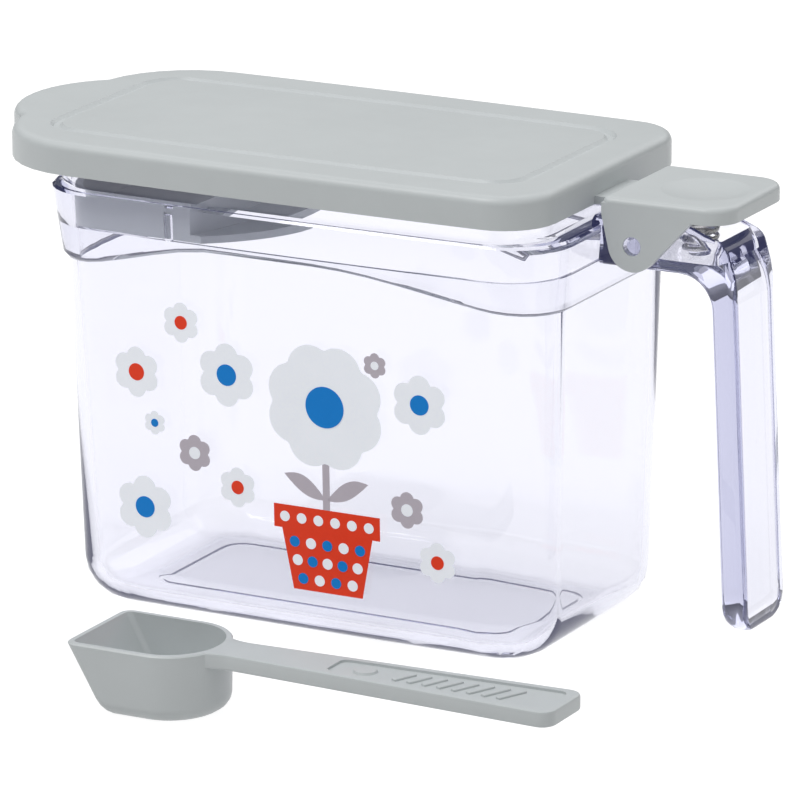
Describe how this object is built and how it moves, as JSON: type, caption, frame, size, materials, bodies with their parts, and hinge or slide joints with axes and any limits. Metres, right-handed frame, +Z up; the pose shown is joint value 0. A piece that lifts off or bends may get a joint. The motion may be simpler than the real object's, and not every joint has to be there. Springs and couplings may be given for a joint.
{
  "type": "formula dispenser",
  "caption": "Clear rectangular formula container with a thumb-lever hinged lid, a side handle, a levelling insert and a measuring scoop.",
  "frame": {"origin": "centre of the container's base, on the surface it stands on", "axes": "+X along the container's length towards its handle, +Y away from the scoop, +Z up"},
  "size_m": [0.1683, 0.1269, 0.0981],
  "materials": {
    "clear_as": "clear, glossy moulding",
    "grey_pp": "satin moulding",
    "silicone": "soft, milky",
    "spring_steel": "drawn wire"
  },
  "bodies": {
    "container": {"canister": "clear_as", "leveller": "grey_pp", "spring": "spring_steel"},
    "lid_and_lever": {"lid": "grey_pp", "lid_seal": "silicone", "lever": "grey_pp"},
    "scoop": {"scoop": "grey_pp"}
  },
  "joints": [
    {"name": "lid_hinge", "type": "hinge", "parent": "container", "child": "lid_and_lever", "pos_m": [0.06721, 0, 0.0859], "axis": [0, 1, 0], "range_deg": [0, 18], "stiffness_Nm_per_rad": 0.15, "springref_deg": -20.05, "deforming": ["spring"]},
    {"name": "scoop_lift", "type": "slide", "parent": "container", "child": "scoop", "axis": [0, 0, 1], "range_m": [0, 0.06]}
  ]
}
